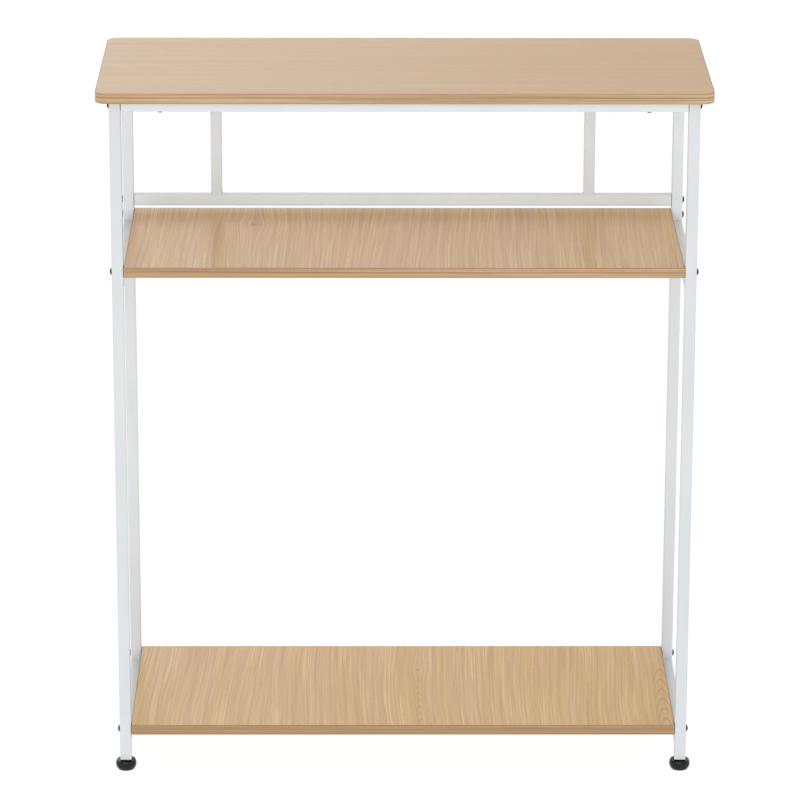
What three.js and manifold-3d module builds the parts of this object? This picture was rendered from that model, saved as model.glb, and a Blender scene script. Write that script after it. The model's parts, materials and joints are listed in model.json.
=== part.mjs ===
// Standing computer desk: two welded side frames of square steel tube, a bolted front rail and a
// bolted back frame, a top board, a fixed keyboard shelf, a bottom shelf and four levelling feet.
// Millimetres, +Z up, the front towards -Y, the floor at Z = 0.
import * as THREE from "three";
import { mergeVertices } from "three/addons/utils/BufferGeometryUtils.js";
import Module from "manifold-3d";

// Overall sizes
const TOP_WIDTH = 1000;
const TOP_DEPTH = 400;
const OVERALL_HEIGHT = 1182;

// Boards and their edge bands
const BOARD_THICKNESS = 17;
const SIDE_OVERHANG = 21.5; // top board past the legs, left and right
const FRONT_OVERHANG = 24; // top board past the front legs
const KEYBOARD_SHELF_TOP = 884;
const BOTTOM_SHELF_TOP = 81;
const TOP_CORNER_RADIUS = 20;
const SHELF_CORNER_RADIUS = 1.5;
const BAND_THICKNESS = 1;
const GLUE_LINE = 0.1;
const SHELF_END_GAP = 0.3; // between a shelf's end and the leg beside it

// Square tube and the frame made of it
const TUBE_SIZE = 19;
const TUBE_WALL = 1.2;
const TUBE_CORNER_RADIUS = 2.5;
const SHELF_RAIL_DROP = 19; // a shelf's upper face to the top of the side rail beside it
const CROSSBAR_CLEARANCE = 8.5; // keyboard shelf to the underside of the crossbar
const POST_OFFSET = 318; // a back post's centre from the desk's centre
const RAIL_END_GAP = 0.6; // between a bolted rail's end and its leg
const NUT_PLATE_THICKNESS = 5; // threaded plate welded in each bolted rail's end

// Frame bolts, and the threaded inserts in the shelves' ends
const BOLT_DIAMETER = 6;
const BOLT_HEAD_DIAMETER = 12;
const BOLT_HEAD_HEIGHT = 3.3;
const BOLT_SOCKET_ACROSS = 4; // hexagon key size
const BOLT_SOCKET_DEPTH = 2;
const BOLT_HOLE_CLEARANCE = 0.25; // on the radius, in the legs' walls
const THREAD_CLEARANCE = 0.1; // on the radius, in anything threaded
const SEAT_GAP = 0.02; // under a head that is drawn up tight
const RAIL_BOLT_REACH = 10; // past the leg, into a rail
const SHELF_BOLT_REACH = 14; // past the leg, into a shelf
const INSERT_WALL = 2;
const INSERT_LENGTH = 13;
const INSERT_CLEARANCE = 0.1; // on the radius, in the board
const INSERT_BORE_ROOM = 2; // left ahead of a bolt's end in the board
const BOLT_TIP_CHAMFER = 0.75;

// Screws that hold the top board, driven up through the front and rear rails
const SCREW_DIAMETER = 4;
const SCREW_HEAD_DIAMETER = 8.4;
const SCREW_HEAD_HEIGHT = 2.4;
const SCREW_BITE = 12; // into the top board
const SCREW_OFFSET = 396; // from the desk's centre
const SCREW_HOLE_CLEARANCE = 0.3;
const PILOT_CLEARANCE = 0.1;
const PILOT_ROOM = 0.5; // left ahead of a screw's point in the top board
const SCREW_CROWN_DIAMETER = 5; // flat of the head
const SCREW_SHOULDER_DIAMETER = 7.7;
const SCREW_SHOULDER_HEIGHT = 1.4; // from the head's seat
const SCREW_POINT_LENGTH = 4;
const SCREW_SLOT_LENGTH = 5;
const SCREW_SLOT_WIDTH = 1.4;
const SCREW_SLOT_DEPTH = 1.2;

// Levelling feet: a plug in the leg, a threaded stem and a bun-shaped pad
const FOOT_HEIGHT = 18.5; // floor to the leg's open end, foot screwed right in
const PLUG_FLANGE = 1.5;
const PLUG_LENGTH = 22;
const PLUG_CLEARANCE = 0.1;
const STEM_DIAMETER = 8;
const STEM_LENGTH = 40;
const STEM_END_CHAMFER = 0.8;
const STEM_SEAT = 5; // floor to the bottom of the stem, inside the pad
const PAD_GAP = 0.5; // pad to plug, foot screwed right in
const PAD_RADIUS = 17.5;
const PAD_BULGE_HEIGHT = 9.5; // floor to the pad's widest ring
const PAD_BULGE_HALF_AXIS = 15; // upright half-axis of the pad's elliptical side
const PAD_EDGE = 0.8; // chamfer round the pad's sole and top
const PAD_BORE_FLOOR_GAP = 0.1;

// Fineness of the round shapes
const BORE_SIDES = 10;
const HEAD_SIDES = 12;
const PAD_SIDES = 24;
const STEM_SIDES = 12;
const INSERT_SIDES = 12;
const CORNER_STEPS = 1;
const TOP_CORNER_STEPS = 4;
const PAD_SIDE_STEPS = 2; // below the widest ring, and again above it
const HEAD_DOME_STEPS = 2;
const HEAD_DOME_ANGLE = 0.4 * Math.PI;
const SMALLEST_CORNER = 0.1; // of a tube's or plug's rounded section
const MERGE_TOLERANCE = 1e-4;
const CUT_PAST = 1; // how far a cutter runs past the piece that it cuts

// Derived sizes
const FRAME_WIDTH = TOP_WIDTH - 2 * SIDE_OVERHANG;
const FRAME_DEPTH = TOP_DEPTH - FRONT_OVERHANG;
const FRAME_TOP = OVERALL_HEIGHT - BOARD_THICKNESS;
const LEG_X = (FRAME_WIDTH - TUBE_SIZE) / 2;
const LEG_Y = (FRAME_DEPTH - TUBE_SIZE) / 2;
const LEG_LENGTH = FRAME_TOP - FOOT_HEIGHT;
const CLEAR_WIDTH = FRAME_WIDTH - 2 * TUBE_SIZE; // between the legs, left to right
const CLEAR_DEPTH = FRAME_DEPTH - 2 * TUBE_SIZE; // between the legs, front to rear
const RAIL_Z = FRAME_TOP - TUBE_SIZE / 2; // centre of every top rail
const CROSSBAR_Z = KEYBOARD_SHELF_TOP + CROSSBAR_CLEARANCE + TUBE_SIZE / 2;
const BOLT_RADIUS = BOLT_DIAMETER / 2;
const INSERT_RADIUS = BOLT_RADIUS + THREAD_CLEARANCE + INSERT_WALL;
const PAD_TOP = FOOT_HEIGHT - PLUG_FLANGE - PAD_GAP;
const STEM_RADIUS = STEM_DIAMETER / 2;
// The object's box reaches from the top board's front edge to the rear pads.
const PAD_PROTRUSION = Math.max(0, PAD_RADIUS - TUBE_SIZE / 2);
const FRAME_Y = (FRONT_OVERHANG - PAD_PROTRUSION) / 2;

const SIDES = [["left", -1], ["right", 1]];
const ENDS = [["front", -1], ["rear", 1]];

const library = await Module();
library.setup();

// ---- geometry helpers ----

function solidFrom(geometry) {
  const plain = new THREE.BufferGeometry();
  const flat = geometry.index ? geometry.toNonIndexed() : geometry;
  plain.setAttribute("position", flat.getAttribute("position").clone());
  const merged = mergeVertices(plain, MERGE_TOLERANCE);
  return new library.Manifold(new library.Mesh({
    numProp: 3,
    vertProperties: new Float32Array(merged.attributes.position.array),
    triVerts: new Uint32Array(merged.index.array),
  }));
}

function geometryFrom(solid) {
  const mesh = solid.getMesh();
  const geometry = new THREE.BufferGeometry();
  geometry.setAttribute("position", new THREE.BufferAttribute(new Float32Array(mesh.vertProperties), 3));
  geometry.setIndex(new THREE.BufferAttribute(new Uint32Array(mesh.triVerts), 1));
  const facets = geometry.toNonIndexed();
  facets.computeVertexNormals();
  return facets;
}

function cut(geometry, cutters) {
  const solid = cutters.reduce((rest, cutter) => rest.subtract(solidFrom(cutter)), solidFrom(geometry));
  return geometryFrom(solid);
}

function join(geometries) {
  const [first, ...others] = geometries.map(solidFrom);
  return geometryFrom(others.reduce((sum, other) => sum.add(other), first));
}

function roundedRectangle(width, depth, radius) {
  const x = width / 2 - radius;
  const y = depth / 2 - radius;
  const outline = new THREE.Shape();
  outline.moveTo(x + radius, -y);
  outline.lineTo(x + radius, y);
  outline.absarc(x, y, radius, 0, Math.PI / 2);
  outline.lineTo(-x, y + radius);
  outline.absarc(-x, y, radius, Math.PI / 2, Math.PI);
  outline.lineTo(-x - radius, -y);
  outline.absarc(-x, -y, radius, Math.PI, 1.5 * Math.PI);
  outline.lineTo(x, -y - radius);
  outline.absarc(x, -y, radius, 1.5 * Math.PI, 2 * Math.PI);
  return outline;
}

// A prism of an outline, standing on Z = 0.
function prism(outline, height, steps = CORNER_STEPS) {
  return new THREE.ExtrudeGeometry(outline, { depth: height, bevelEnabled: false, curveSegments: steps });
}

// A length of the frame's square tube, open at both ends, standing on Z = 0.
function squareTube(length) {
  const outline = roundedRectangle(TUBE_SIZE, TUBE_SIZE, TUBE_CORNER_RADIUS);
  const bore = TUBE_SIZE - 2 * TUBE_WALL;
  outline.holes.push(roundedRectangle(bore, bore, Math.max(TUBE_CORNER_RADIUS - TUBE_WALL, SMALLEST_CORNER)));
  return prism(outline, length);
}

const alongX = (geometry) => geometry.rotateY(Math.PI / 2);
const alongY = (geometry) => geometry.rotateX(-Math.PI / 2);

// A hole's faceted wall lies outside its true circle, so that the clearance holds on the flats too.
const holeRadius = (radius, sides) => radius / Math.cos(Math.PI / sides);

// A round cutter centred on a point, with its axis along X or Z.
function roundCutter(radius, length) {
  const facetRadius = holeRadius(radius, BORE_SIDES);
  return new THREE.CylinderGeometry(facetRadius, facetRadius, length, BORE_SIDES);
}

const boreX = (radius, length, x, y, z) =>
  roundCutter(radius, length).rotateZ(Math.PI / 2).translate(x, y, z);
const boreZ = (radius, length, x, y, z) =>
  roundCutter(radius, length).rotateX(Math.PI / 2).translate(x, y, z);

// A turned piece about Z: the profile runs [radius, height] from the axis, up, and back to the axis.
function turned(profile, sides) {
  const points = profile.map(([radius, height]) => new THREE.Vector2(radius, height));
  return new THREE.LatheGeometry(points, sides).rotateX(Math.PI / 2);
}

// ---- materials ----

const finish = (color, roughness, metalness) =>
  new THREE.MeshStandardMaterial({ color, roughness, metalness });

const powderCoat = finish(0xf1f2f3, 0.45, 0.0);
const oakFace = finish(0xd3b58c, 0.5, 0.0);
const oakBand = finish(0xcaa877, 0.5, 0.0);
const darkSteel = finish(0x2b2b2d, 0.35, 0.8);
const zincSteel = finish(0xb9bcc0, 0.35, 1.0);
const blackPlastic = finish(0x141416, 0.25, 0.0);

// ---- the desk ----

const desk = new THREE.Group();
desk.position.set(0, FRAME_Y, 0);

function add(name, geometry, material, x, y, z, turn = 0) {
  const mesh = new THREE.Mesh(geometry, material);
  mesh.name = name;
  mesh.position.set(x, y, z);
  mesh.rotation.z = turn;
  desk.add(mesh);
}

// Everything bolted to the legs, as height of the bolts' axis and the legs that they pass through.
const boardMiddle = (shelfTop) => shelfTop - BOARD_THICKNESS / 2;
const bothEnds = ["front", "rear"];
const JOINTS = {
  rail: { height: RAIL_Z, ends: bothEnds, reach: RAIL_BOLT_REACH },
  crossbar: { height: CROSSBAR_Z, ends: ["rear"], reach: RAIL_BOLT_REACH },
  keyboard_shelf: { height: boardMiddle(KEYBOARD_SHELF_TOP), ends: bothEnds, reach: SHELF_BOLT_REACH },
  bottom_shelf: { height: boardMiddle(BOTTOM_SHELF_TOP), ends: bothEnds, reach: SHELF_BOLT_REACH },
};

function leg(end) {
  const joints = Object.values(JOINTS).filter((joint) => joint.ends.includes(end));
  const radius = BOLT_RADIUS + BOLT_HOLE_CLEARANCE;
  const bores = joints.map((joint) =>
    boreX(radius, TUBE_SIZE + 2 * CUT_PAST, 0, 0, joint.height - FOOT_HEIGHT));
  return cut(squareTube(LEG_LENGTH), bores);
}

for (const [end, endSign] of ENDS) {
  for (const [side, sign] of SIDES) {
    add(`leg_${end}_${side}`, leg(end), powderCoat, sign * LEG_X, endSign * LEG_Y, FOOT_HEIGHT);
  }
}

const sideRailHeights = {
  top: RAIL_Z,
  middle: KEYBOARD_SHELF_TOP - SHELF_RAIL_DROP - TUBE_SIZE / 2,
  bottom: BOTTOM_SHELF_TOP - SHELF_RAIL_DROP - TUBE_SIZE / 2,
};

for (const [level, height] of Object.entries(sideRailHeights)) {
  for (const [side, sign] of SIDES) {
    const rail = alongY(squareTube(CLEAR_DEPTH));
    add(`side_rail_${level}_${side}`, rail, powderCoat, sign * LEG_X, -CLEAR_DEPTH / 2, height);
  }
}

// A rail bolted between two legs: a tube with a threaded plate welded in each end.
function boltedRail(screwPlaces) {
  const length = CLEAR_WIDTH - 2 * RAIL_END_GAP;
  const plateSize = TUBE_SIZE - TUBE_WALL;
  const plate = () => prism(roundedRectangle(plateSize, plateSize, TUBE_CORNER_RADIUS), NUT_PLATE_THICKNESS);
  const rail = join([
    alongX(squareTube(length)).translate(-length / 2, 0, 0),
    alongX(plate()).translate(-length / 2, 0, 0),
    alongX(plate()).translate(length / 2 - NUT_PLATE_THICKNESS, 0, 0),
  ]);
  const threadRadius = BOLT_RADIUS + THREAD_CLEARANCE;
  const threadLength = 2 * (NUT_PLATE_THICKNESS + CUT_PAST);
  const threads = SIDES.map(([, sign]) => boreX(threadRadius, threadLength, sign * length / 2, 0, 0));
  const screwRadius = SCREW_DIAMETER / 2 + SCREW_HOLE_CLEARANCE;
  const screwHoles = screwPlaces.map((x) => boreZ(screwRadius, TUBE_SIZE + 2 * CUT_PAST, x, 0, 0));
  return cut(rail, [...threads, ...screwHoles]);
}

const screwPlaces = SIDES.map(([, sign]) => sign * SCREW_OFFSET);
add("front_rail", boltedRail(screwPlaces), powderCoat, 0, -LEG_Y, RAIL_Z);
add("rear_rail", boltedRail(screwPlaces), powderCoat, 0, LEG_Y, RAIL_Z);
add("crossbar", boltedRail([]), powderCoat, 0, LEG_Y, CROSSBAR_Z);

const postBottom = CROSSBAR_Z + TUBE_SIZE / 2;
const postLength = FRAME_TOP - TUBE_SIZE - postBottom;
for (const [side, sign] of SIDES) {
  add(`back_post_${side}`, squareTube(postLength), powderCoat, sign * POST_OFFSET, LEG_Y, postBottom);
}

// A board and the band round its edge, both standing on Z = 0 and centred, with the same bores.
function boardWithBand(width, depth, corner, steps, bores) {
  const inset = BAND_THICKNESS + GLUE_LINE;
  const core = roundedRectangle(width - 2 * inset, depth - 2 * inset, corner - inset);
  const ring = roundedRectangle(width, depth, corner);
  const innerWidth = width - 2 * BAND_THICKNESS;
  const innerDepth = depth - 2 * BAND_THICKNESS;
  ring.holes.push(roundedRectangle(innerWidth, innerDepth, corner - BAND_THICKNESS));
  return {
    board: cut(prism(core, BOARD_THICKNESS, steps), bores()),
    band: cut(prism(ring, BOARD_THICKNESS, steps), bores()),
  };
}

const topY = -FRONT_OVERHANG / 2;
const pilotRadius = SCREW_DIAMETER / 2 + PILOT_CLEARANCE;
const top = boardWithBand(TOP_WIDTH, TOP_DEPTH, TOP_CORNER_RADIUS, TOP_CORNER_STEPS, () =>
  ENDS.flatMap(([, endSign]) => screwPlaces.map((x) =>
    boreZ(pilotRadius, 2 * (SCREW_BITE + PILOT_ROOM), x, endSign * LEG_Y - topY, 0))));
add("top_board", top.board, oakFace, 0, topY, FRAME_TOP);
add("top_board_edge_band", top.band, oakBand, 0, topY, FRAME_TOP);

const shelfWidth = CLEAR_WIDTH - 2 * SHELF_END_GAP;
const insertBoreDepth = SHELF_BOLT_REACH + INSERT_BORE_ROOM;

for (const [name, shelfTop] of [["keyboard_shelf", KEYBOARD_SHELF_TOP], ["bottom_shelf", BOTTOM_SHELF_TOP]]) {
  const shelf = boardWithBand(shelfWidth, FRAME_DEPTH, SHELF_CORNER_RADIUS, CORNER_STEPS, () =>
    ENDS.flatMap(([, endSign]) => SIDES.map(([, sign]) =>
      boreX(INSERT_RADIUS + INSERT_CLEARANCE, 2 * insertBoreDepth, sign * shelfWidth / 2,
        endSign * LEG_Y, BOARD_THICKNESS / 2))));
  add(name, shelf.board, oakFace, 0, 0, shelfTop - BOARD_THICKNESS);
  add(`${name}_edge_band`, shelf.band, oakBand, 0, 0, shelfTop - BOARD_THICKNESS);
}

// A threaded sleeve lying along X from its outer face at X = 0.
function insert() {
  const threadRadius = holeRadius(BOLT_RADIUS + THREAD_CLEARANCE, INSERT_SIDES);
  const outline = new THREE.Shape().absarc(0, 0, INSERT_RADIUS, 0, 2 * Math.PI);
  outline.holes.push(new THREE.Path().absarc(0, 0, threadRadius, 0, 2 * Math.PI));
  return alongX(prism(outline, INSERT_LENGTH, INSERT_SIDES / 2));
}

for (const name of ["keyboard_shelf", "bottom_shelf"]) {
  for (const [end, endSign] of ENDS) {
    for (const [side, sign] of SIDES) {
      const turn = sign > 0 ? Math.PI : 0;
      add(`insert_${name}_${end}_${side}`, insert(), zincSteel,
        sign * shelfWidth / 2, endSign * LEG_Y, JOINTS[name].height, turn);
    }
  }
}

// A button-head bolt along X: the head's seat at X = 0, the shank towards +X.
function bolt(length) {
  const headRadius = BOLT_HEAD_DIAMETER / 2;
  const dome = [];
  for (let i = 0; i <= HEAD_DOME_STEPS; i++) {
    const angle = (i / HEAD_DOME_STEPS) * HEAD_DOME_ANGLE;
    const rise = Math.sin(angle) / Math.sin(HEAD_DOME_ANGLE);
    dome.push([headRadius * Math.cos(angle), -BOLT_HEAD_HEIGHT * rise]);
  }
  const profile = [
    [0, -BOLT_HEAD_HEIGHT],
    ...dome.reverse(),
    [BOLT_RADIUS, 0],
    [BOLT_RADIUS, length - BOLT_TIP_CHAMFER],
    [BOLT_RADIUS - BOLT_TIP_CHAMFER, length],
    [0, length],
  ];
  const socket = new THREE.CylinderGeometry(1, 1, 2 * BOLT_SOCKET_DEPTH, 6);
  const socketRadius = BOLT_SOCKET_ACROSS / Math.sqrt(3);
  socket.scale(socketRadius, 1, socketRadius);
  socket.rotateX(Math.PI / 2).translate(0, 0, -BOLT_HEAD_HEIGHT);
  return alongX(cut(turned(profile, HEAD_SIDES), [socket]));
}

for (const [name, joint] of Object.entries(JOINTS)) {
  for (const [end, endSign] of ENDS.filter(([place]) => joint.ends.includes(place))) {
    for (const [side, sign] of SIDES) {
      const turn = sign > 0 ? Math.PI : 0;
      add(`bolt_${name}_${end}_${side}`, bolt(TUBE_SIZE + joint.reach), darkSteel,
        sign * (FRAME_WIDTH / 2 + SEAT_GAP), endSign * LEG_Y, joint.height, turn);
    }
  }
}

// A pan-head screw pointing up from its head's seat at Z = 0.
function topScrew() {
  const radius = SCREW_DIAMETER / 2;
  const length = TUBE_SIZE + SCREW_BITE;
  const profile = [
    [0, -SCREW_HEAD_HEIGHT],
    [SCREW_CROWN_DIAMETER / 2, -SCREW_HEAD_HEIGHT],
    [SCREW_SHOULDER_DIAMETER / 2, -SCREW_SHOULDER_HEIGHT],
    [SCREW_HEAD_DIAMETER / 2, 0],
    [radius, 0],
    [radius, length - SCREW_POINT_LENGTH],
    [0, length],
  ];
  const arm = () => new THREE.BoxGeometry(SCREW_SLOT_LENGTH, SCREW_SLOT_WIDTH, 2 * SCREW_SLOT_DEPTH);
  const slots = [arm(), arm().rotateZ(Math.PI / 2)].map((slot) => slot.translate(0, 0, -SCREW_HEAD_HEIGHT));
  return cut(turned(profile, HEAD_SIDES), slots);
}

for (const [end, endSign] of ENDS) {
  for (const [side, sign] of SIDES) {
    add(`top_screw_${end}_${side}`, topScrew(), darkSteel,
      sign * SCREW_OFFSET, endSign * LEG_Y, FRAME_TOP - TUBE_SIZE - SEAT_GAP);
  }
}

// The plug in a leg's lower end: its flange below Z = 0, its body up inside the tube.
function legPlug() {
  const bodySize = TUBE_SIZE - 2 * (TUBE_WALL + PLUG_CLEARANCE);
  const bodyCorner = Math.max(TUBE_CORNER_RADIUS - TUBE_WALL - PLUG_CLEARANCE, SMALLEST_CORNER);
  const flange = prism(roundedRectangle(TUBE_SIZE, TUBE_SIZE, TUBE_CORNER_RADIUS), PLUG_FLANGE);
  const body = prism(roundedRectangle(bodySize, bodySize, bodyCorner), PLUG_LENGTH + PLUG_FLANGE);
  const plug = join([flange, body]).translate(0, 0, -PLUG_FLANGE);
  const threadLength = 2 * (PLUG_LENGTH + PLUG_FLANGE + CUT_PAST);
  return cut(plug, [boreZ(STEM_RADIUS + THREAD_CLEARANCE, threadLength, 0, 0, 0)]);
}

function stem() {
  return turned([
    [0, 0],
    [STEM_RADIUS - STEM_END_CHAMFER, 0],
    [STEM_RADIUS, STEM_END_CHAMFER],
    [STEM_RADIUS, STEM_LENGTH - STEM_END_CHAMFER],
    [STEM_RADIUS - STEM_END_CHAMFER, STEM_LENGTH],
    [0, STEM_LENGTH],
  ], STEM_SIDES);
}

// Radius of the pad's bulging side at a height above the floor.
function padRadius(height) {
  const share = (height - PAD_BULGE_HEIGHT) / PAD_BULGE_HALF_AXIS;
  return PAD_RADIUS * Math.sqrt(1 - share * share);
}

function pad() {
  const profile = [[0, 0], [padRadius(0) - PAD_EDGE, 0]];
  const upperEdge = PAD_TOP - PAD_EDGE;
  for (let i = -PAD_SIDE_STEPS; i <= PAD_SIDE_STEPS; i++) {
    const reach = i < 0 ? PAD_BULGE_HEIGHT - PAD_EDGE : upperEdge - PAD_BULGE_HEIGHT;
    const height = PAD_BULGE_HEIGHT + (reach * i) / PAD_SIDE_STEPS;
    profile.push([padRadius(height), height]);
  }
  const boreRadius = holeRadius(STEM_RADIUS + THREAD_CLEARANCE, PAD_SIDES);
  profile.push([padRadius(PAD_TOP) - PAD_EDGE, PAD_TOP]);
  profile.push([boreRadius, PAD_TOP]);
  profile.push([boreRadius, STEM_SEAT - PAD_BORE_FLOOR_GAP]);
  profile.push([0, STEM_SEAT - PAD_BORE_FLOOR_GAP]);
  return turned(profile, PAD_SIDES);
}

for (const [end, endSign] of ENDS) {
  for (const [side, sign] of SIDES) {
    const place = [sign * LEG_X, endSign * LEG_Y];
    add(`leg_plug_${end}_${side}`, legPlug(), blackPlastic, ...place, FOOT_HEIGHT);
    add(`foot_stem_${end}_${side}`, stem(), zincSteel, ...place, STEM_SEAT);
    add(`foot_pad_${end}_${side}`, pad(), blackPlastic, ...place, 0);
  }
}

export default desk;
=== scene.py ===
"""Tall computer desk with a keyboard shelf: its looks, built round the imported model."""

import json
import math

import bmesh
import bpy
from mathutils import Matrix, Vector, noise

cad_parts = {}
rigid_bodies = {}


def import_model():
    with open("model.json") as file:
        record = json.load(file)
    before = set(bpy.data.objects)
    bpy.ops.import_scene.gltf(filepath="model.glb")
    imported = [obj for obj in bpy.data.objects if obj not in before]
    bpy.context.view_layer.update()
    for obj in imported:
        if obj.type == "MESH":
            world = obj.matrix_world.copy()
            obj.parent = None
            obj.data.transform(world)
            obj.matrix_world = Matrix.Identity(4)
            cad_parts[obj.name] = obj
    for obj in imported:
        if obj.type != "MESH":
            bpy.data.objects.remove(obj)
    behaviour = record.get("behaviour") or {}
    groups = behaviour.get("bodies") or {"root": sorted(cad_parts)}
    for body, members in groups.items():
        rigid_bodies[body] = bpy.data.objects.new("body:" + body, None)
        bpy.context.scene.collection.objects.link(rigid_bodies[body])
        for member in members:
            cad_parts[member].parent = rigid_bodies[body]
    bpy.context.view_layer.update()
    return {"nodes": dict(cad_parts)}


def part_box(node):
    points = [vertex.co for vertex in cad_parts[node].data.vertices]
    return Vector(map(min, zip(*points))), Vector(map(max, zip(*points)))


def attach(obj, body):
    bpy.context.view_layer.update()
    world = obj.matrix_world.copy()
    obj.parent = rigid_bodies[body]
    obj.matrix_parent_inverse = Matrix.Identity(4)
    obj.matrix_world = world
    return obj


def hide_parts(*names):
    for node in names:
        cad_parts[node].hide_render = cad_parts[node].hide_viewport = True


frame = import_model()

MM = 0.001
X, Y, Z = 0, 1, 2
SIDES = ("left", "right")
ENDS = ("front", "rear")

# Square tube
TUBE_CORNER = 2.5 * MM
TUBE_WALL = 1.2 * MM
TUBE_CORNER_SEGMENTS = 6

# Weld beads round the tubes' ends
RAIL_BEAD = 2.6 * MM
POST_BEAD = 1.5 * MM
GROUND_BEAD = 0.3 * MM  # what grinding leaves of a rail's bead on the frame's flat sides
BEAD_SINK = 0.5 * MM  # how far a bead reaches into the tube's wall
BEAD_ROUNDING = 0.92  # the share of a bead's height that its rounded crest takes
BEAD_STILL = 0.05  # the share of it at its foot that has no ripples
BEAD_STEP = 1.2 * MM  # spacing of its vertices along the tube's side
BEAD_RIPPLE = 0.22 * MM
BEAD_RIPPLE_SCALE = 420  # per metre
BEAD_SWELL_SCALE = 130  # per metre, of the slower swelling under the ripples
BEAD_SWELL = 0.6  # the swelling as a share of the ripples

# Boards and bands
TOP_CORNER = 20 * MM
SHELF_CORNER = 1.5 * MM
BAND_THICKNESS = 1 * MM
BAND_INSET = 1.1 * MM  # a board's edge to the outside of its band
BAND_ROUND = 0.7 * MM
BOARD_ROUND = 0.2 * MM
TOP_CORNER_SEGMENTS = 20
SHELF_CORNER_SEGMENTS = 4

# Bolts and screws
BOLT_HEAD_HEIGHT = 3.3 * MM
BOLT_SHANK_RADIUS = 3 * MM
BOLT_TIP_CHAMFER = 0.7 * MM
BOLT_RIM = [(0.35 * MM, 0), (0.05 * MM, 0.2 * MM)]  # the head's lower edge: (in from its side, up)
BOLT_CROWN_RADIUS = 2.65 * MM  # the flat ring round the socket
BOLT_DOME_START = 0.16  # radians up from the head's rim
BOLT_DOME_TURN = 1.0  # radians
BOLT_DOME_STEPS = 9
BOLT_KEY = 4 * MM
BOLT_SOCKET_DEPTH = 2 * MM
SCREW_HEAD_HEIGHT = 2.4 * MM
SCREW_SHANK_RADIUS = 2 * MM
SCREW_TIP = 4 * MM
SCREW_RIM = 0.3 * MM  # the head's side to its lower edge
SCREW_HEAD_ROUND = 1.5 * MM
SCREW_HEAD_ROUND_HEIGHT = 0.9 * MM  # the head's seat to the middle of its rounding
SCREW_CROWN_RADIUS = 2.7 * MM
SCREW_SLOT_HALF_LENGTH = 2.3 * MM
SCREW_SLOT_HALF_WIDTH = 0.55 * MM
SCREW_SLOT_DEPTH = 1.3 * MM
HEAD_SEGMENTS = 48
RECESS_CONE = 1.25  # depth of a recess at its middle, as a share of its depth at the wall

# Feet
THREAD_PITCH = 1.25 * MM
THREAD_DEPTH = 0.7 * MM
THREAD_SEGMENTS = 32
STEM_CHAMFER = 0.5 * MM
PAD_BULGE_HEIGHT = 9.5 * MM  # floor to the pad's widest ring
PAD_BULGE_HALF_AXIS = 15 * MM
PAD_EDGE = 1 * MM
PAD_SIDE_STEPS = 18
PAD_SEGMENTS = 72
PAD_BORE = 4.15 * MM
PAD_BORE_FLOOR = 4.9 * MM
PAD_BORE_CHAMFER = 0.3 * MM
PAD_COLLAR = 1.6 * MM  # width of the sunk ring round the bore
PAD_COLLAR_DEPTH = 0.35 * MM
PAD_SOLE_RIM = 2.6 * MM
PAD_SOLE_RECESS = 0.9 * MM
PAD_BOSS_RADIUS = 2 * MM  # the low boss in the middle of the sole's recess
PAD_BOSS_RECESS = 0.54 * MM
PAD_SLOPE = 0.4 * MM  # how far the walls of the shallow recesses lean
PLUG_FLANGE = 1.5 * MM
PLUG_ROUND = 0.5 * MM
PLUG_BODY_GAP = 1.3 * MM  # outside of the tube to the plug's body

MERGE = 0.001 * MM

# Oak figure: a knot is (across the grain, along it, size), and a cathedral is (across, first arch,
# half width, spacing of its arches)
KNOT_FLATNESS = 0.42
ARCH_STEEPNESS = 11
KNOTS = {
    "top_board": [(-163 * MM, -249 * MM, 4 * MM)],
    "keyboard_shelf": [(-256 * MM, 88 * MM, 15 * MM)],
    "bottom_shelf": [(27 * MM, 78 * MM, 10 * MM)],
}
CATHEDRALS = {
    "top_board": [],
    "keyboard_shelf": [],
    "bottom_shelf": [(436 * MM, 105 * MM, 26 * MM, 46 * MM), (27 * MM, 45 * MM, 16 * MM, 30 * MM)],
}
BAND_PAINTED_SHADE = {  # painted shade: how far each band is darkened towards brown, more the lower its board stands
    "top_board": 0.0, "keyboard_shelf": 0.11, "bottom_shelf": 0.48,
}
TOP_TONES = {
    "pink": "cda273", "yellow": "caa168", "brown": "b38b5f",
    "cream": "dbb884", "line": "a27c56", "pore": "8a6849",
}
SHELF_TONES = {
    "pink": "d5a977", "yellow": "d4ab65", "brown": "bc9261",
    "cream": "eccd95", "line": "a27c54", "pore": "846348",
}
TOP_CONTRAST = 0.45
SHELF_CONTRAST = 1.0

# Camera, in radians, metres and millimetres of lens
CAMERA_PITCH = 0.30885
CAMERA_YAW = 0.00742
CAMERA_ROLL = -0.00257
CAMERA_PLACE = (-0.0584, -7.1571, 2.8840)
CAMERA_LENS = 199.8


# ---- shader graphs written as expressions ----


class Signal:
    """A socket of a graph. Arithmetic on signals adds Math nodes to the graph."""

    def __init__(self, graph, socket):
        self.graph = graph
        self.socket = socket

    def math(self, operation, *terms):
        return self.graph.node("ShaderNodeMath", {"operation": operation}, dict(enumerate(terms)))

    def __add__(self, other):
        return self.math("ADD", self, other)

    def __radd__(self, other):
        return self.math("ADD", other, self)

    def __sub__(self, other):
        return self.math("SUBTRACT", self, other)

    def __rsub__(self, other):
        return self.math("SUBTRACT", other, self)

    def __mul__(self, other):
        return self.math("MULTIPLY", self, other)

    def __rmul__(self, other):
        return self.math("MULTIPLY", other, self)

    def __truediv__(self, other):
        return self.math("DIVIDE", self, other)

    def __abs__(self):
        return self.math("ABSOLUTE", self)

    def fold(self, width):
        """Runs up to a width and back down again, over and over."""
        return self.math("PINGPONG", self, width)

    def ramp(self, low, high):
        """0 below low, 1 above high, smooth between. low may be above high, which turns it round."""
        settings = {"interpolation_type": "SMOOTHSTEP"}
        if low < high:
            return self.graph.node("ShaderNodeMapRange", settings, {0: self, 1: low, 2: high})
        return self.graph.node("ShaderNodeMapRange", settings, {0: self, 1: high, 2: low, 3: 1, 4: 0})


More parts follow.
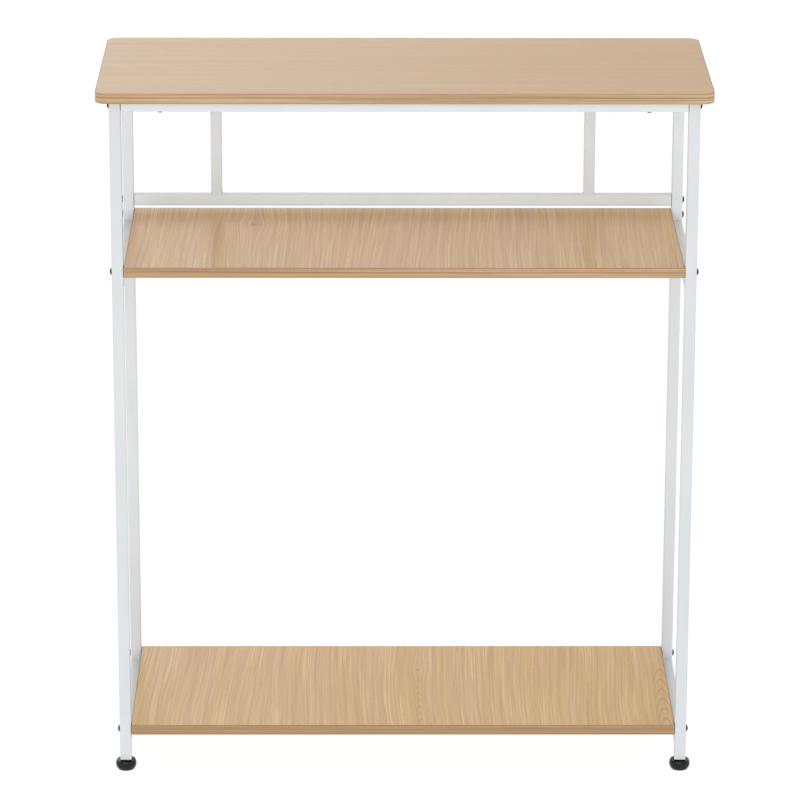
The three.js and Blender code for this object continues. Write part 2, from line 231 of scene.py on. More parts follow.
class Graph:
    """A node tree that is built by calls."""

    def __init__(self, tree):
        self.tree = tree
        self.tree.nodes.clear()

    def node(self, kind, settings, sockets, output=0):
        """Adds a node: its settings first, then its sockets' values or links."""
        made = self.tree.nodes.new(kind)
        for setting, value in settings.items():
            setattr(made, setting, value)
        for key, value in sockets.items():
            if isinstance(value, Signal):
                self.tree.links.new(value.socket, made.inputs[key])
            else:
                made.inputs[key].default_value = value
        return Signal(self, made.outputs[output]) if made.outputs else made

    def parts(self, vector):
        """A vector's X, Y and Z."""
        apart = self.node("ShaderNodeSeparateXYZ", {}, {0: vector}).socket.node
        return [Signal(self, socket) for socket in apart.outputs]


class Finish(Graph):
    """A material's graph. object_point is the place on the object, in metres, and x, y, z its parts."""

    def __init__(self, name):
        self.material = bpy.data.materials.new(name)
        self.material.use_nodes = True
        super().__init__(self.material.node_tree)
        self.object_point = self.node("ShaderNodeTexCoord", {}, {}, "Object")
        self.x, self.y, self.z = self.parts(self.object_point)

    def point(self, x, y, z):
        return self.node("ShaderNodeCombineXYZ", {}, {0: x, 1: y, 2: z})

    def noise(self, point, scale=1.0, detail=2.0, roughness=0.5):
        sockets = {"Vector": point, "Scale": scale, "Detail": detail, "Roughness": roughness}
        return self.node("ShaderNodeTexNoise", {"noise_dimensions": "3D"}, sockets)

    def mix(self, share, first, second):
        """A colour between two colours."""
        first, second = (c if isinstance(c, Signal) else (*c, 1.0) for c in (first, second))
        return self.node("ShaderNodeMix", {"data_type": "RGBA"}, {0: share, 6: first, 7: second}, 2)

    def shade(self, colour, roughness, height, bump, metallic=0.0, specular=0.5):
        """Ends the graph with its shader. height is relief in metres, and bump its strength."""
        relief = self.node("ShaderNodeBump", {}, {"Strength": bump, "Distance": 1.0, "Height": height})
        sockets = {"Base Color": colour, "Roughness": roughness, "Metallic": metallic,
                   "Specular IOR Level": specular, "Normal": relief}
        shader = self.node("ShaderNodeBsdfPrincipled", {}, sockets)
        self.node("ShaderNodeOutputMaterial", {}, {"Surface": shader})
        return self.material


def swatch(code):
    """The linear colour of a hexadecimal paint code."""
    shares = [int(code[i:i + 2], 16) / 255 for i in (0, 2, 4)]
    return tuple(s / 12.92 if s <= 0.04045 else ((s + 0.055) / 1.055) ** 2.4 for s in shares)


# ---- finishes ----


def powder_coat():
    f = Finish("white_powder_coat")
    peel = f.noise(f.object_point, 520, 2, 0.45)
    fine = f.noise(f.object_point, 2600, 2, 0.6)
    cloud = f.noise(f.object_point, 9, 3, 0.55)
    nib = f.noise(f.object_point, 310, 0, 0.5).ramp(0.80, 0.84)
    handling = f.noise(f.point(f.x * 140, f.y * 140, f.z * 26), 1, 3, 0.6).ramp(0.66, 0.80)
    # grey handling marks, with more grey towards the floor: the lowest 16 cm of the frame are darker
    near_floor = f.z.ramp(0.16, 0.02)
    grey_marks = handling * (0.08 + 0.22 * near_floor)
    clean = f.mix(cloud.ramp(0.3, 0.7), swatch("d3d8db"), swatch("d8dcdf"))
    colour = f.mix(grey_marks, clean, swatch("b4b5b3"))
    roughness = 0.32 + 0.10 * peel + 0.12 * grey_marks
    height = peel * 0.00009 + fine * 0.000012 + nib * 0.00008
    return f.shade(colour, roughness, height, 0.55)


def oak_laminate(board, grain_along_x, tones, contrast):
    """Printed oak with pressed pores. Each height has its own figure, so no two faces match."""
    f = Finish(f"oak_laminate_{board}")
    across, along = (f.y, f.x) if grain_along_x else (f.x, f.y)
    level = f.z * 13.7 + (4.2 if grain_along_x else 0.0)
    drift = f.noise(f.point(across * 3.0, along * 1.1, level), 1, 1, 0.5) - 0.5
    sway = f.noise(f.point(across * 12, along * 4.0, level + 9.3), 1, 2, 0.5) - 0.5
    bent = across + drift * 0.075 + sway * 0.0040

    heart = 0.0
    for knot_across, knot_along, size in KNOTS[board]:
        aside = bent - knot_across
        beyond = (along - knot_along) * KNOT_FLATNESS
        reach = aside * aside + beyond * beyond
        bent = knot_across + aside * (reach / (reach + size * size))
        heart = heart + reach.ramp(0.12 * size * size, 0.0)

    arches = 0.0
    arch_place = 0.0
    for arch_across, apex, width, spacing in CATHEDRALS[board]:
        aside = bent - arch_across
        rise = (along - apex + aside * aside * ARCH_STEEPNESS / width) / spacing
        ring = (rise + sway * 0.5).fold(0.5) * 2
        within = abs(aside).ramp(width, width * 0.55) * (along - apex).ramp(0.6 * spacing, -0.4 * spacing)
        arches = arches + ring.ramp(0.66, 0.98) * within
        arch_place = arch_place + within

    broad = f.noise(f.point(bent * 17, along * 0.8, level + 2.4), 1, 2, 0.5)
    band = f.noise(f.point(bent * 85, along * 1.4, level + 12.9), 1, 2, 0.55)
    streak = f.noise(f.point(bent * 320, along * 2.4, level + 5.1), 1, 3, 0.6)
    thread = f.noise(f.point(bent * 800, along * 7.0, level + 7.7), 1, 3, 0.65)
    bundle = f.noise(f.point(bent * 28, along * 2.2, level + 21.0), 1, 1, 0.5).ramp(0.40, 0.58)
    pale = f.noise(f.point(bent * 540, along * 3.4, level + 27.0), 1, 1, 0.5).ramp(0.55, 0.66) * bundle
    dark = f.noise(f.point(bent * 240, along * 1.6, level + 33.0), 1, 2, 0.5).ramp(0.64, 0.76)
    pores = f.noise(f.point(bent * 1500, along * 42, level), 1, 1, 0.5).ramp(0.63, 0.72)

    ground = f.mix(broad.ramp(0.36, 0.62), swatch(tones["pink"]), swatch(tones["yellow"]))
    ground = f.mix(band.ramp(0.34, 0.66) * 0.55 * contrast, ground, swatch(tones["brown"]))
    ground = f.mix(streak.ramp(0.36, 0.70) * 0.45 * contrast, ground, swatch(tones["cream"]))
    ground = f.mix(thread.ramp(0.46, 0.72) * 0.45 * contrast, ground, swatch(tones["brown"]))
    ground = f.mix(pale * 0.62 * contrast, ground, swatch(tones["cream"]))
    ground = f.mix(dark * 0.50 * contrast, ground, swatch(tones["line"]))
    ground = f.mix(arch_place * 0.30, ground, swatch(tones["yellow"]))
    ground = f.mix(arches * 0.50, ground, swatch(tones["line"]))
    ground = f.mix(heart * 0.38, ground, swatch(tones["pore"]))
    colour = f.mix(pores * 0.24, ground, swatch(tones["pore"]))
    roughness = 0.29 + 0.06 * thread + 0.12 * pores
    height = pores * -0.00003 + thread * 0.000012 + arches * 0.000006
    return f.shade(colour, roughness, height, 0.5, specular=0.32)


def oak_band(board, upper_face, painted_shade):
    """Edge band with its grain along the edge. upper_face is the height of the board's upper face, and
    painted_shade how far the band is darkened towards brown as painted shade.
    """
    f = Finish(f"oak_edge_band_{board}")
    depth = (upper_face - f.z) / MM
    wander = f.noise(f.point(f.x * 4, f.y * 4, 3.0 + upper_face), 1, 2, 0.5) - 0.5
    layer = depth + wander * 3.0
    streak = f.noise(f.point(f.x * 3.0, f.y * 3.0, layer * 0.42 + upper_face * 31), 1, 3, 0.6)
    fibre = f.noise(f.point(f.x * 12, f.y * 12, layer * 1.7 + upper_face * 17), 1, 3, 0.65)
    vein = f.noise(f.point(f.x * 1.6, f.y * 1.6, layer * 0.95 + upper_face * 41), 1, 1, 0.5)
    warmth = f.noise(f.point(f.x * 2.2, f.y * 2.2, layer * 0.33 + upper_face * 53), 1, 1, 0.5)
    tint = f.mix(warmth.ramp(0.40, 0.60), swatch("c8b284"), swatch("d6a980"))
    joint_line = depth.ramp(1.3, 0.4)
    seam = abs(layer - 7.2).ramp(1.3, 0.2)
    lower = depth.ramp(13.5, 16.5)
    ground = f.mix(streak.ramp(0.36, 0.62), swatch("b59165"), swatch("d1b48c"))
    ground = f.mix(0.55, ground, tint)
    ground = f.mix(fibre.ramp(0.44, 0.70) * 0.60, ground, swatch("9a754b"))
    ground = f.mix(vein.ramp(0.54, 0.64) * 0.60, ground, swatch("8a6742"))
    ground = f.mix(seam * 0.70, ground, swatch("8a6741"))
    ground = f.mix(lower * 0.40, ground, swatch("96714a"))
    ground = f.mix(joint_line * 0.45, ground, swatch("80603d"))
    # painted shade: the whole band darkened towards brown, more on the lower boards
    colour = f.mix(painted_shade, ground, swatch("8f6b43"))
    roughness = 0.40 + 0.12 * fibre
    height = fibre * -0.00003 + streak * 0.00001
    return f.shade(colour, roughness, height, 0.5)


def black_oxide_steel():
    f = Finish("dark_steel_fasteners")
    turned = f.noise(f.object_point, 900, 3, 0.6)
    patch = f.noise(f.object_point, 260, 2, 0.5)
    rubbed = patch.ramp(0.56, 0.74)
    colour = f.mix(rubbed * 0.6, swatch("2c2c2f"), swatch("5a5a5e"))
    roughness = 0.28 + 0.22 * turned
    return f.shade(colour, roughness, turned * 0.00002, 0.4, metallic=0.85)


def zinc_plate():
    f = Finish("zinc_plated_steel")
    spangle = f.noise(f.object_point, 700, 3, 0.6)
    haze = f.noise(f.object_point, 120, 2, 0.5)
    colour = f.mix(haze.ramp(0.35, 0.65), swatch("c4c8cc"), swatch("d2d0c4"))
    roughness = 0.22 + 0.20 * spangle
    return f.shade(colour, roughness, spangle * 0.000012, 0.4, metallic=1.0)


def black_plastic():
    f = Finish("black_plastic")
    flow = f.noise(f.object_point, 60, 2, 0.5)
    grain = f.noise(f.object_point, 1500, 2, 0.6)
    dust = f.noise(f.object_point, 800, 1, 0.5).ramp(0.68, 0.78)
    colour = f.mix(flow.ramp(0.35, 0.65), swatch("0d0d0f"), swatch("141417"))
    colour = f.mix(dust * 0.12, colour, swatch("6d6a66"))
    roughness = 0.14 + 0.10 * grain + 0.25 * dust
    return f.shade(colour, roughness, grain * 0.000008 + flow * 0.00004, 0.35, specular=0.26)


# ---- mesh helpers ----


def finished(bm, name, material, body="frame", replaces=(), sharp_degrees=32):
    """Makes a bmesh, already in place, a piece that rides on a body."""
    bmesh.ops.remove_doubles(bm, verts=bm.verts, dist=MERGE)
    bmesh.ops.recalc_face_normals(bm, faces=bm.faces)
    mesh = bpy.data.meshes.new(name)
    bm.to_mesh(mesh)
    bm.free()
    mesh.materials.append(material)
    mesh.shade_smooth()
    mesh.set_sharp_from_angle(angle=math.radians(sharp_degrees))
    piece = bpy.data.objects.new(name, mesh)
    bpy.context.scene.collection.objects.link(piece)
    shading = piece.modifiers.new("flat_faces_lead", "WEIGHTED_NORMAL")
    shading.keep_sharp = True
    shading.weight = 100
    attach(piece, body)
    if replaces:
        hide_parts(*replaces)


def middle_and_size(node):
    low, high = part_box(node)
    return (low + high) / 2, high - low


def rounded_block(size, axis, radius, segments):
    """A block round the origin whose four edges along one axis are rounded."""
    bm = bmesh.new()
    bmesh.ops.create_cube(bm, size=1, matrix=Matrix.Diagonal((*size, 1)))
    upright = [e for e in bm.edges if abs((e.verts[0].co - e.verts[1].co)[axis]) > size[axis] / 2]
    bmesh.ops.bevel(bm, geom=upright, offset=radius, affect="EDGES", segments=segments, profile=0.5,
                    material=-1)
    return bm


def end_faces(bm, axis):
    bm.normal_update()
    return [f for f in bm.faces if abs(f.normal[axis]) > 0.99]


def hollow_out(bm, axis, wall):
    """Opens a block from end to end along an axis and leaves a wall."""
    ends = end_faces(bm, axis)
    bmesh.ops.inset_individual(bm, faces=ends, thickness=wall, use_even_offset=True)
    rims = [e for f in ends for e in f.edges]
    bmesh.ops.delete(bm, geom=ends, context="FACES_ONLY")
    bmesh.ops.bridge_loops(bm, edges=rims)


def spun(profile, segments):
    """A turned shape about Z. The profile is a list of (radius, height)."""
    bm = bmesh.new()
    verts = [bm.verts.new((radius, 0, height)) for radius, height in profile]
    edges = [bm.edges.new(pair) for pair in zip(verts, verts[1:])]
    bmesh.ops.spin(bm, geom=verts + edges, axis=(0, 0, 1), cent=(0, 0, 0), angle=2 * math.pi,
                   steps=segments, use_merge=True)
    bmesh.ops.remove_doubles(bm, verts=bm.verts, dist=MERGE)
    return bm


def arc(centre, radius, start, end, steps):
    """Points (radius, height) of a round stretch of a profile, from one angle to another, in degrees."""
    turns = [math.radians(start + (end - start) * i / steps) for i in range(steps + 1)]
    return [(centre[0] + radius * math.cos(t), centre[1] + radius * math.sin(t)) for t in turns]


def sink_recess(bm, outline, rim_height, rim_radius, depth):
    """Joins a head's open crown to the edge of a recess, and sinks the recess to a shallow point."""
    corners = [bm.verts.new((x, y, rim_height)) for x, y in outline]
    edges = [bm.edges.new(pair) for pair in zip(corners, corners[1:] + corners[:1])]
    bmesh.ops.subdivide_edges(bm, edges=edges, cuts=HEAD_SEGMENTS // len(outline) - 1)
    mouth = [e for e in bm.edges if not e.link_faces]
    crown = [e for e in bm.edges if len(e.link_faces) == 1
             and all(abs(v.co.z - rim_height) < MERGE and abs(v.co.xy.length - rim_radius) < MERGE
                     for v in e.verts)]
    bmesh.ops.bridge_loops(bm, edges=crown + mouth)
    walls = bmesh.ops.extrude_edge_only(bm, edges=mouth)["geom"]
    low = [g for g in walls if isinstance(g, bmesh.types.BMVert)]
    bmesh.ops.translate(bm, verts=low, vec=(0, 0, -depth))
    rim = [g for g in walls if isinstance(g, bmesh.types.BMEdge) and all(v in low for v in g.verts)]
    floor = bmesh.ops.extrude_edge_only(bm, edges=rim)["geom"]
    tip = [g for g in floor if isinstance(g, bmesh.types.BMVert)]
    bmesh.ops.pointmerge(bm, verts=tip, merge_co=(0, 0, rim_height - depth * RECESS_CONE))


# ---- the steel frame ----


def tube(node, material):
    middle, size = middle_and_size(node)
    axis = max((X, Y, Z), key=lambda i: size[i])
    bm = rounded_block(size, axis, TUBE_CORNER, TUBE_CORNER_SEGMENTS)
    hollow_out(bm, axis, TUBE_WALL)
    bmesh.ops.translate(bm, verts=bm.verts, vec=middle)
    finished(bm, f"{node}_tube", material, replaces=[node])


def weld_bead(name, joint, axis, direction, width, bead, material):
    """A rippled bead round a tube's end, where the tube leaves the joint's middle along an axis."""
    size = [width + 2 * bead] * 3
    size[axis] = bead
    if axis == Y:
        size[X] = width + 2 * GROUND_BEAD
    bm = rounded_block(size, axis, TUBE_CORNER + bead, TUBE_CORNER_SEGMENTS)
    away = [f for f in end_faces(bm, axis) if f.normal[axis] * direction > 0]
    crest = [e for f in away for e in f.edges]
    bmesh.ops.bevel(bm, geom=crest, offset=bead * BEAD_ROUNDING, affect="EDGES", segments=4, profile=0.5,
                    material=-1)
    hollow_out_bead(bm, axis, direction, bead)
    long_edges = [e for e in bm.edges if e.calc_length() > 2 * BEAD_STEP
                  and abs(e.verts[0].co[axis] - e.verts[1].co[axis]) < MERGE]
    bmesh.ops.subdivide_edges(bm, edges=long_edges, cuts=int(width / BEAD_STEP), use_grid_fill=True)
    bm.normal_update()
    for vert in bm.verts:
        side = max(abs(vert.co[i]) for i in (X, Y, Z) if i != axis)
        if side > width / 2 + bead * BEAD_STILL:
            place = vert.co + joint
            ripple = noise.noise(place * BEAD_RIPPLE_SCALE)
            ripple += BEAD_SWELL * noise.noise(place * BEAD_SWELL_SCALE)
            vert.co += vert.normal * BEAD_RIPPLE * ripple
    for vert in bm.verts:
        if axis == Y and vert.co.y * direction < 0:
            vert.co.y -= direction * corner_fall(vert.co.x, width)
    middle = joint.copy()
    middle[axis] += direction * bead / 2
    bmesh.ops.translate(bm, verts=bm.verts, vec=middle)
    finished(bm, name, material, sharp_degrees=70)


def corner_fall(x, width):
    """How far a tube's face has fallen back at x from its middle, where its corner rounds off."""
    over = min(max(abs(x) - (width / 2 - TUBE_CORNER), 0), TUBE_CORNER)
    return TUBE_CORNER - math.sqrt(TUBE_CORNER ** 2 - over ** 2)


def hollow_out_bead(bm, axis, direction, bead):
    """Opens a bead for the tube that it goes round. The bead's two end faces differ in size."""
    ends = end_faces(bm, axis)
    near = [f for f in ends if f.normal[axis] * direction < 0]
    far = [f for f in ends if f.normal[axis] * direction > 0]
    flat = bead * (1 - BEAD_ROUNDING)
    bmesh.ops.inset_individual(bm, faces=near, thickness=bead + BEAD_SINK, use_even_offset=True)
    bmesh.ops.inset_individual(bm, faces=far, thickness=flat + BEAD_SINK, use_even_offset=True)
    rims = [e for f in near + far for e in f.edges]
    bmesh.ops.delete(bm, geom=near + far, context="FACES_ONLY")
    bmesh.ops.bridge_loops(bm, edges=rims)


def steel_frame(coat):
    for end in ENDS:
        for side in SIDES:
            tube(f"leg_{end}_{side}", coat)
        tube(f"{end}_rail", coat)
    tube("crossbar", coat)
    for side in SIDES:
        for level in ("top", "middle", "bottom"):
            node = f"side_rail_{level}_{side}"
            tube(node, coat)
            middle, size = middle_and_size(node)
            for end, direction in (("front", 1), ("rear", -1)):
                joint = middle - Vector((0, direction * size.y / 2, 0))
                weld_bead(f"weld_{level}_{end}_{side}", joint, Y, direction, size.x, RAIL_BEAD, coat)
        node = f"back_post_{side}"
        tube(node, coat)
        middle, size = middle_and_size(node)
        for end, direction in (("lower", 1), ("upper", -1)):
            joint = middle - Vector((0, 0, direction * size.z / 2))
            weld_bead(f"weld_post_{end}_{side}", joint, Z, direction, size.x, POST_BEAD, coat)


# ---- the boards ----


def board(node, corner, segments, face):
    middle, size = middle_and_size(node)
    bm = rounded_block(size, Z, max(corner - BAND_INSET, BOARD_ROUND), segments)
    rims = [e for f in end_faces(bm, Z) for e in f.edges]
    bmesh.ops.bevel(bm, geom=rims, offset=BOARD_ROUND, affect="EDGES", segments=2, profile=0.5,
                    material=-1)
    bmesh.ops.translate(bm, verts=bm.verts, vec=middle)
    slot = "oak_laminate_top" if node == "top_board" else "oak_laminate_shelf"
    finished(bm, f"{node}_panel", face, replaces=[node])

    band = oak_band(node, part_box(node)[1].z, BAND_PAINTED_SHADE[node])
    middle, size = middle_and_size(f"{node}_edge_band")
    bm = rounded_block(size, Z, corner, segments)
    rims = [e for f in end_faces(bm, Z) for e in f.edges]
    hollow_out(bm, Z, BAND_THICKNESS)
    bmesh.ops.bevel(bm, geom=rims, offset=BAND_ROUND, affect="EDGES", segments=3, profile=0.5,
                    material=-1)
    bmesh.ops.translate(bm, verts=bm.verts, vec=middle)
    finished(bm, f"{node}_band", band, replaces=[f"{node}_edge_band"])


def boards():
    top_face = oak_laminate("top_board", True, TOP_TONES, TOP_CONTRAST)
    board("top_board", TOP_CORNER, TOP_CORNER_SEGMENTS, top_face)
    for node in ("keyboard_shelf", "bottom_shelf"):
        shelf_face = oak_laminate(node, False, SHELF_TONES, SHELF_CONTRAST)
        board(node, SHELF_CORNER, SHELF_CORNER_SEGMENTS, shelf_face)


# ---- bolts and screws ----


def hexagon(across_flats):
    radius = across_flats / math.sqrt(3)
    turns = [math.radians(60 * corner) for corner in range(6)]
    return [(radius * math.cos(t), radius * math.sin(t)) for t in turns]


def plus_sign(reach, half_width):
    quarter = [(reach, -half_width), (reach, half_width), (half_width, half_width)]
    turns = [(1, 0), (0, 1), (-1, 0), (0, -1)]
    return [(x * c - y * s, x * s + y * c) for c, s in turns for x, y in quarter]


def button_bolt(node, steel):
    """A button-head bolt with a hexagon socket. Its head is on the desk's outer side."""
    middle, size = middle_and_size(node)
    outwards = 1 if middle.x > 0 else -1
    radius = size.y / 2
    length = size.x - BOLT_HEAD_HEIGHT
    full_rise = math.sin(BOLT_DOME_START + BOLT_DOME_TURN)
    turns = [BOLT_DOME_START + BOLT_DOME_TURN * i / BOLT_DOME_STEPS for i in range(BOLT_DOME_STEPS + 1)]
    profile = [(0, -length), (BOLT_SHANK_RADIUS - BOLT_TIP_CHAMFER, -length)]
    profile += [(BOLT_SHANK_RADIUS, -length + BOLT_TIP_CHAMFER), (BOLT_SHANK_RADIUS, 0)]
    profile += [(radius - inwards, up) for inwards, up in BOLT_RIM]
    profile += [(radius * math.cos(t), BOLT_HEAD_HEIGHT * math.sin(t) / full_rise) for t in turns]
    profile += [(BOLT_CROWN_RADIUS, BOLT_HEAD_HEIGHT)]
    bm = spun(profile, HEAD_SEGMENTS)
    sink_recess(bm, hexagon(BOLT_KEY), BOLT_HEAD_HEIGHT, BOLT_CROWN_RADIUS, BOLT_SOCKET_DEPTH)
    seat = Vector((middle.x + outwards * (size.x / 2 - BOLT_HEAD_HEIGHT), middle.y, middle.z))
    turn = Matrix.Rotation(outwards * math.pi / 2, 4, "Y") @ Matrix.Rotation(node_angle(node), 4, "Z")
    bmesh.ops.transform(bm, matrix=Matrix.Translation(seat) @ turn, verts=bm.verts)
    finished(bm, f"{node}_machined", steel, replaces=[node])


def node_angle(node):
    """How far a fastener happened to be turned when it was tightened."""
    return sum(ord(letter) for letter in node) % 60 / 60 * math.pi / 3


def pan_screw(node, steel):
    """A pan-head screw with a cross recess, its head downwards."""
    middle, size = middle_and_size(node)
    radius = size.x / 2
    length = size.z - SCREW_HEAD_HEIGHT
    profile = [(0, -length), (SCREW_SHANK_RADIUS, -length + SCREW_TIP)]
    profile += [(SCREW_SHANK_RADIUS, 0), (radius - SCREW_RIM, 0)]
    profile += arc((radius - SCREW_HEAD_ROUND, SCREW_HEAD_ROUND_HEIGHT), SCREW_HEAD_ROUND, -20, 80, 8)
    profile += [(SCREW_CROWN_RADIUS, SCREW_HEAD_HEIGHT)]
    bm = spun(profile, HEAD_SEGMENTS)
    sink_recess(bm, plus_sign(SCREW_SLOT_HALF_LENGTH, SCREW_SLOT_HALF_WIDTH), SCREW_HEAD_HEIGHT,
                SCREW_CROWN_RADIUS, SCREW_SLOT_DEPTH)
    seat = Vector((middle.x, middle.y, middle.z - size.z / 2 + SCREW_HEAD_HEIGHT))
    turn = Matrix.Rotation(math.pi, 4, "X") @ Matrix.Rotation(node_angle(node), 4, "Z")
    bmesh.ops.transform(bm, matrix=Matrix.Translation(seat) @ turn, verts=bm.verts)
    finished(bm, f"{node}_machined", steel, replaces=[node])


def fasteners(zinc):
    steel = black_oxide_steel()
    for node in sorted(frame["nodes"]):
        if node.startswith("bolt_"):
            button_bolt(node, steel)
        elif node.startswith("top_screw_"):
            pan_screw(node, steel)
        elif node.startswith("insert_"):
            slots = frame["nodes"][node].data.materials
            slots.clear()
            slots.append(zinc)


# ---- the levelling feet ----


def leg_plug(node, plastic):
    middle, size = middle_and_size(node)
    low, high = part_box(node)
    flange = rounded_block((size.x, size.y, PLUG_FLANGE), Z, TUBE_CORNER, TUBE_CORNER_SEGMENTS)
    under = [e for f in end_faces(flange, Z) if f.normal.z < 0 for e in f.edges]
    bmesh.ops.bevel(flange, geom=under, offset=PLUG_ROUND, affect="EDGES", segments=3, profile=0.5,
                    material=-1)
    top = [f for f in end_faces(flange, Z) if f.normal.z > 0]
    bmesh.ops.inset_individual(flange, faces=top, thickness=PLUG_BODY_GAP, use_even_offset=True)
    raised = bmesh.ops.extrude_discrete_faces(flange, faces=top)["faces"]
    bmesh.ops.translate(flange, verts=[v for f in raised for v in f.verts],
                        vec=(0, 0, high.z - low.z - PLUG_FLANGE - PLUG_ROUND))
    bmesh.ops.inset_individual(flange, faces=raised, thickness=PLUG_ROUND, depth=PLUG_ROUND,
                               use_even_offset=True)
    bmesh.ops.translate(flange, verts=flange.verts, vec=(middle.x, middle.y, low.z + PLUG_FLANGE / 2))
    finished(flange, f"{node}_moulded", plastic, replaces=[node])


def foot_stem(node, body, zinc):
    """A threaded rod: one turn's profile carried round a helix, cut off square at both ends."""
    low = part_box(node)[0]
    middle, size = middle_and_size(node)
    radius = size.x / 2
    root = radius - THREAD_DEPTH
    turns = math.ceil(size.z / THREAD_PITCH) + 2
    bm = bmesh.new()
    ridge = [(root, 0), (root, 0.12), (radius, 0.42), (radius, 0.58), (root, 0.88), (root, 1)]
    verts = [bm.verts.new((r, 0, share * THREAD_PITCH)) for r, share in ridge]
    edges = [bm.edges.new(pair) for pair in zip(verts, verts[1:])]
    bmesh.ops.spin(bm, geom=verts + edges, axis=(0, 0, 1), cent=(0, 0, 0),
                   dvec=(0, 0, THREAD_PITCH / THREAD_SEGMENTS), angle=2 * math.pi * turns,
                   steps=THREAD_SEGMENTS * turns)
    bmesh.ops.remove_doubles(bm, verts=bm.verts, dist=MERGE)
    for height, direction in ((THREAD_PITCH, -1), (THREAD_PITCH + size.z - 2 * STEM_CHAMFER, 1)):
        everything = list(bm.verts) + list(bm.edges) + list(bm.faces)
        bmesh.ops.bisect_plane(bm, geom=everything, dist=MERGE, plane_co=(0, 0, height),
                               plane_no=(0, 0, direction), clear_outer=True)
    rims = [e for e in bm.edges if len(e.link_faces) == 1]
    caps = bmesh.ops.holes_fill(bm, edges=rims)["faces"]
    bm.normal_update()
    bmesh.ops.recalc_face_normals(bm, faces=bm.faces)
    bmesh.ops.inset_individual(bm, faces=caps, thickness=STEM_CHAMFER, depth=STEM_CHAMFER)
    lowest = min(v.co.z for v in bm.verts)
    bmesh.ops.translate(bm, verts=bm.verts, vec=(middle.x, middle.y, low.z - lowest))
    finished(bm, f"{node}_threaded", zinc, body, [node], sharp_degrees=40)


def foot_pad(node, body, plastic):
    """A bun-shaped pad with a hollow sole and a bore for its stem."""
    middle, size = middle_and_size(node)
    height = size.z
    widest = size.x / 2

    def side(z):
        return widest * math.sqrt(1 - ((z - PAD_BULGE_HEIGHT) / PAD_BULGE_HALF_AXIS) ** 2)

    rise = height - 2 * PAD_EDGE
    levels = [PAD_EDGE + rise * i / PAD_SIDE_STEPS for i in range(1, PAD_SIDE_STEPS)]
    foot = side(PAD_EDGE) - PAD_EDGE
    crown = side(height - PAD_EDGE) - PAD_EDGE
    sole = foot - PAD_SOLE_RIM
    collar = PAD_BORE + PAD_COLLAR
    collar_floor = height - PAD_COLLAR_DEPTH
    profile = [(0, PAD_BOSS_RECESS), (PAD_BOSS_RADIUS, PAD_BOSS_RECESS)]
    profile += [(PAD_BOSS_RADIUS + PAD_SLOPE, PAD_SOLE_RECESS), (sole, PAD_SOLE_RECESS)]
    profile += [(sole + PAD_SLOPE, 0)]
    profile += arc((foot, PAD_EDGE), PAD_EDGE, -90, -10, 5)
    profile += [(side(z), z) for z in levels]
    profile += arc((crown, height - PAD_EDGE), PAD_EDGE, 10, 90, 5)
    profile += [(collar, height), (collar - PAD_SLOPE, collar_floor)]
    profile += [(PAD_BORE + PAD_BORE_CHAMFER, collar_floor), (PAD_BORE, collar_floor - PAD_BORE_CHAMFER)]
    profile += [(PAD_BORE, PAD_BORE_FLOOR), (0, PAD_BORE_FLOOR)]
    bm = spun(profile, PAD_SEGMENTS)
    bmesh.ops.translate(bm, verts=bm.verts, vec=(middle.x, middle.y, middle.z - height / 2))
    finished(bm, f"{node}_moulded", plastic, body, [node], sharp_degrees=50)


def feet(zinc):
    plastic = black_plastic()
    for end in ENDS:
        for side in SIDES:
            leg_plug(f"leg_plug_{end}_{side}", plastic)
            foot_stem(f"foot_stem_{end}_{side}", f"foot_screw_{end}_{side}", zinc)
            foot_pad(f"foot_pad_{end}_{side}", f"foot_{end}_{side}", plastic)


# ---- stage ----


def camera():
    """A long lens from the front, well above the top board and very slightly off the desk's middle."""
    level = math.cos(CAMERA_PITCH)
    forward = Vector((math.sin(CAMERA_YAW) * level, math.cos(CAMERA_YAW) * level, -math.sin(CAMERA_PITCH)))
    right = Vector((math.cos(CAMERA_YAW), -math.sin(CAMERA_YAW), 0))
    down = forward.cross(right)
    turned_right = right * math.cos(CAMERA_ROLL) + down * math.sin(CAMERA_ROLL)
    turned_up = right * math.sin(CAMERA_ROLL) - down * math.cos(CAMERA_ROLL)
    data = bpy.data.cameras.new("camera")
    data.sensor_width = 36
    data.lens = CAMERA_LENS
    data.clip_end = 60
    obj = bpy.data.objects.new("camera", data)
    turn = Matrix((turned_right, turned_up, -forward)).transposed()
    obj.matrix_world = Matrix.Translation(CAMERA_PLACE) @ turn.to_4x4()
    bpy.context.scene.collection.objects.link(obj)
    bpy.context.scene.camera = obj


def floor():
    """A wide white floor that glows a little, so that it stays even under the desk."""
    f = Finish("studio_floor")
    shade = f.noise(f.object_point, 0.6, 1, 0.5)
    colour = f.mix(shade, (0.09, 0.09, 0.09), (0.11, 0.11, 0.11))
    shader = f.node("ShaderNodeBsdfPrincipled", {}, {
        "Base Color": colour, "Roughness": 0.9, "Specular IOR Level": 0.0,
        "Emission Color": (1, 1, 1, 1), "Emission Strength": 0.95})
    f.node("ShaderNodeOutputMaterial", {}, {"Surface": shader})
    bm = bmesh.new()
    bmesh.ops.create_grid(bm, x_segments=1, y_segments=1, size=30)
    mesh = bpy.data.meshes.new("studio_floor")
    bm.to_mesh(mesh)
    bm.free()
    mesh.materials.append(f.material)
    obj = bpy.data.objects.new("studio_floor", mesh)
    bpy.context.scene.collection.objects.link(obj)


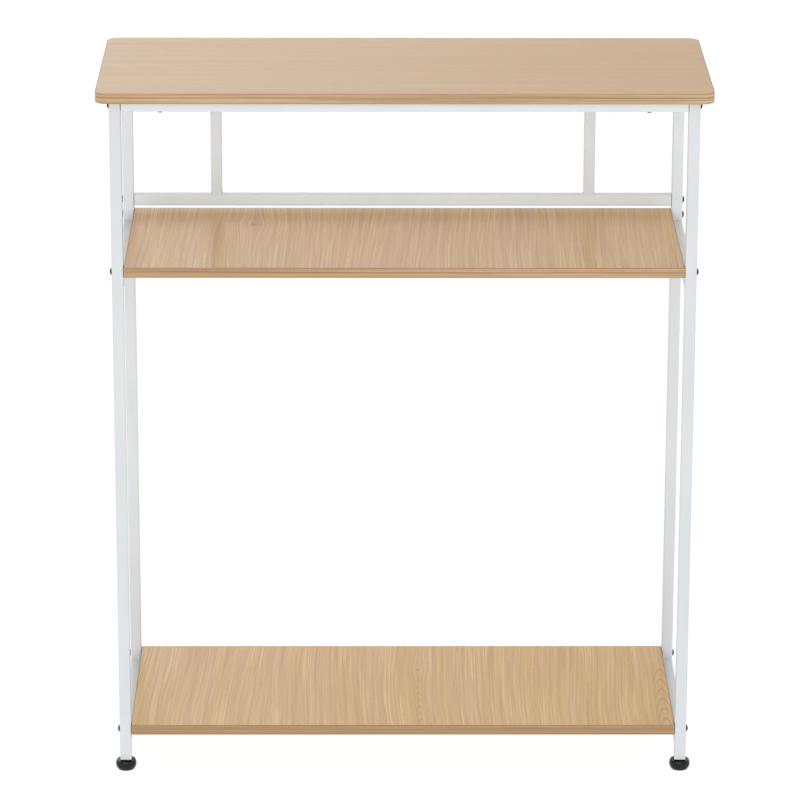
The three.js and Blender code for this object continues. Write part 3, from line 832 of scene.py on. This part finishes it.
def softbox(name, place, target, size, radiance):
    """A large soft light, as bright all over as its radiance says, which the camera doesn't see."""
    data = bpy.data.lights.new(name, "AREA")
    data.shape = "RECTANGLE"
    data.size, data.size_y = size
    data.energy = math.pi * size[0] * size[1] * radiance
    obj = bpy.data.objects.new(name, data)
    aim = Vector(target) - Vector(place)
    obj.matrix_world = Matrix.Translation(place) @ aim.to_track_quat("-Z", "Y").to_matrix().to_4x4()
    obj.visible_camera = False
    bpy.context.scene.collection.objects.link(obj)
    return obj


def pale_room():
    """Bright walls under a darker ceiling, and a glow on the wall behind the desk's left end."""
    world = bpy.data.worlds.new("pale_room")
    world.use_nodes = True
    bpy.context.scene.world = world
    room = Graph(world.node_tree)
    x, y, z = room.parts(room.node("ShaderNodeTexCoord", {}, {}, "Generated"))
    wall = z.ramp(0.72, 0.40)
    glow = x.ramp(0.12, -0.12) * y.ramp(0.5, 0.85) * z.ramp(0.62, 0.34)
    strength = 0.62 + 0.42 * wall + 0.85 * glow
    light = room.node("ShaderNodeBackground", {}, {"Color": (1, 1, 1, 1), "Strength": strength})
    room.node("ShaderNodeOutputWorld", {}, {"Surface": light})


def fill_light(name, place, target, size, radiance, pieces):
    """A cool softbox that lights only the pieces whose names start as given."""
    light = softbox(name, place, target, size, radiance)
    light.data.color = (0.84, 0.94, 1.0)
    lit = bpy.data.collections.new(f"lit_by_{name}")
    light.light_linking.receiver_collection = lit
    for piece in bpy.context.scene.objects:
        if piece.name.startswith(pieces):
            lit.objects.link(piece)


def studio():
    camera()
    floor()
    pale_room()
    softbox("front_softbox", (-0.6, -5.5, 2.2), (0, 0, 0.7), (5.0, 2.2), 1.4)
    fill_light("fill_under_top", (0, -0.15, 1.01), (0, 0.2, 1.01), (0.95, 0.16), 1.45,
               ("crossbar", "back_post", "weld_post", "leg_rear"))
    fill_light("fill_front", (0, -1.5, 1.2), (0, 0, 0.65), (1.6, 1.4), 0.42,
               ("crossbar", "front_rail", "leg_rear", "side_rail", "weld_"))
    for level, height, radiance in (("middle", 1.10, 0.9), ("bottom", 0.80, 1.6)):
        fill_light(f"fill_on_{level}_rails", (0, 0, height), (0, 0, 0), (0.95, 0.35), radiance,
                   (f"side_rail_{level}",))
    bpy.context.scene.view_settings.view_transform = "Standard"


steel_frame(powder_coat())
boards()
zinc_finish = zinc_plate()
fasteners(zinc_finish)
feet(zinc_finish)
studio()

bpy.context.view_layer.update()
